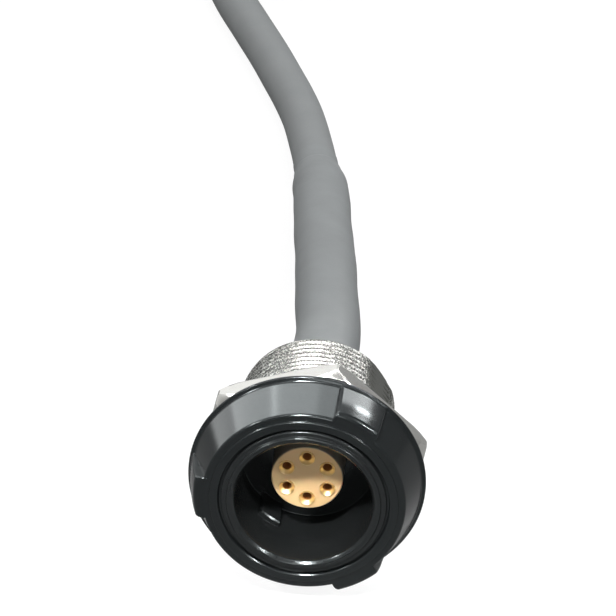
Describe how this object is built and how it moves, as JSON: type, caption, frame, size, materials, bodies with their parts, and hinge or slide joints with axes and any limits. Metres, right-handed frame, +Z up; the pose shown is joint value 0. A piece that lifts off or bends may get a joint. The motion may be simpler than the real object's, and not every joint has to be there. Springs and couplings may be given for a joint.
{
  "type": "panel connector",
  "caption": "Round keyed panel socket with gold contacts, a lugged front ring, a threaded barrel with its panel nut, and a cable in a shrink sleeve.",
  "frame": {"origin": "centre of the front ring's face, on the connector's axis", "axes": "-Y out of the socket towards the plug, +Y towards the cable, +Z up as the part lies, +X to the right as seen by someone who looks into the socket"},
  "size_m": [0.0715, 0.248, 0.0303],
  "materials": {
    "ring_black": "glossy black plating on metal",
    "shell_black": "black moulding, half gloss",
    "nickel": "bright nickel plating on brass",
    "insulator_tan": "tan moulding",
    "contact_gold": "gold plating",
    "seal_rubber": "black rubber",
    "sleeve_grey": "matt grey shrink sleeve",
    "cable_grey": "matt grey jacket",
    "core_black": "wire insulation",
    "core_brown": "wire insulation",
    "core_red": "wire insulation",
    "core_orange": "wire insulation",
    "core_yellow": "wire insulation",
    "core_green": "wire insulation",
    "tin": "tinned strands"
  },
  "bodies": {
    "connector": {"front_ring": "ring_black", "receptacle_shell": "shell_black", "threaded_barrel": "nickel", "panel_seal": "seal_rubber", "front_insulator": "insulator_tan", "rear_insulator": "insulator_tan", "insert_retainer": "nickel", "clamp_nut": "nickel", "contact_1": "contact_gold", "contact_2": "contact_gold", "contact_3": "contact_gold", "contact_4": "contact_gold", "contact_5": "contact_gold", "contact_6": "contact_gold", "core_1": "core_black", "core_2": "core_brown", "core_3": "core_red", "core_4": "core_orange", "core_5": "core_yellow", "core_6": "core_green", "heat_shrink": "sleeve_grey", "cable": "cable_grey", "cable_coil": "cable_grey", "coil_tie": "seal_rubber", "core_end_1": "core_black", "core_end_2": "core_brown", "core_end_3": "core_red", "core_end_4": "core_orange", "core_end_5": "core_yellow", "core_end_6": "core_green", "tinned_tips": "tin"},
    "washer": {"lock_washer": "nickel"},
    "nut": {"hex_nut": "nickel"}
  },
  "joints": [
    {"name": "nut_travel", "type": "slide", "parent": "connector", "child": "washer", "axis": [0, 1, 0], "range_m": [0, 0.012]},
    {"name": "nut_turn", "type": "hinge", "parent": "washer", "child": "nut", "pos_m": [0, 0.00815, 0], "axis": [0, 1, 0], "range_deg": [0, 4320]}
  ],
  "couplings": [
    {"joint": "nut_travel", "follows": "nut_turn", "m_per_rad": 0.00015915}
  ]
}
